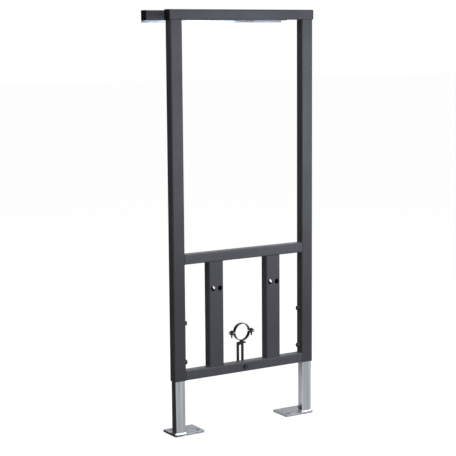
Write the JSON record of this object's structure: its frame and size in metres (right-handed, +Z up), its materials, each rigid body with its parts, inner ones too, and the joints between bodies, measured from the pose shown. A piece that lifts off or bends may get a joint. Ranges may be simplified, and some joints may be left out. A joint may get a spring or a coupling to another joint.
{
  "type": "bidet installation frame",
  "caption": "Free-standing welded steel frame for a wall-hung bidet, with telescoping feet, a waste pipe clamp and a wall rail.",
  "frame": {"origin": "floor level, middle of the overall width and depth", "axes": "+X to the right as seen from the room, +Y towards the wall, +Z up"},
  "size_m": [0.505, 0.1782, 1.263],
  "materials": {
    "painted_frame": "dark anthracite powder coat, satin, with soft light along the rounded edges",
    "end_caps": "moulded black plastic end caps",
    "zinc_rail": "bright zinc-plated steel with a faint blue passivation",
    "black_clamp": "black coated steel band and strap",
    "black_screws": "black coated hexagon screws and nuts",
    "zinc_tube": "zinc-plated steel tube with drawn lines along its length",
    "zinc_plate": "zinc-plated flat steel, slightly mottled",
    "weld_bead": "bright zinc-plated weld bead"
  },
  "bodies": {
    "frame": {"left_upright": "painted_frame", "right_upright": "painted_frame", "top_bar": "painted_frame", "middle_rail": "painted_frame", "bottom_rail": "painted_frame", "left_post": "painted_frame", "right_post": "painted_frame", "left_sleeve": "painted_frame", "right_sleeve": "painted_frame", "wall_rail": "painted_frame", "left_screw_nuts": "painted_frame", "right_screw_nuts": "painted_frame", "top_bar_left_cap": "end_caps", "top_bar_right_cap": "end_caps", "wall_rail_left_cap": "end_caps", "wall_rail_right_cap": "end_caps", "left_arm": "zinc_rail", "right_arm": "zinc_rail", "wall_strip": "zinc_rail", "clamp_strap": "black_clamp", "clamp_lower_half": "black_clamp", "clamp_upper_half": "black_clamp", "left_arm_screw": "black_screws", "right_arm_screw": "black_screws", "left_arm_nut": "black_screws", "right_arm_nut": "black_screws", "left_upper_screw": "black_screws", "left_lower_screw": "black_screws", "right_upper_screw": "black_screws", "right_lower_screw": "black_screws", "strap_screw": "black_screws", "strap_nut": "black_screws", "clamp_seat_nut": "black_screws", "clamp_seat_screw": "black_screws", "clamp_left_screw": "black_screws", "clamp_right_screw": "black_screws"},
    "left_foot": {"left_foot_tube": "zinc_tube", "left_foot_plate": "zinc_plate", "left_foot_weld": "weld_bead"},
    "right_foot": {"right_foot_tube": "zinc_tube", "right_foot_plate": "zinc_plate", "right_foot_weld": "weld_bead"}
  },
  "joints": [
    {"name": "left_foot_slide", "type": "slide", "parent": "frame", "child": "left_foot", "axis": [0, 0, -1], "range_m": [-0.15, 0.032]},
    {"name": "right_foot_slide", "type": "slide", "parent": "frame", "child": "right_foot", "axis": [0, 0, -1], "range_m": [-0.15, 0.032]}
  ]
}
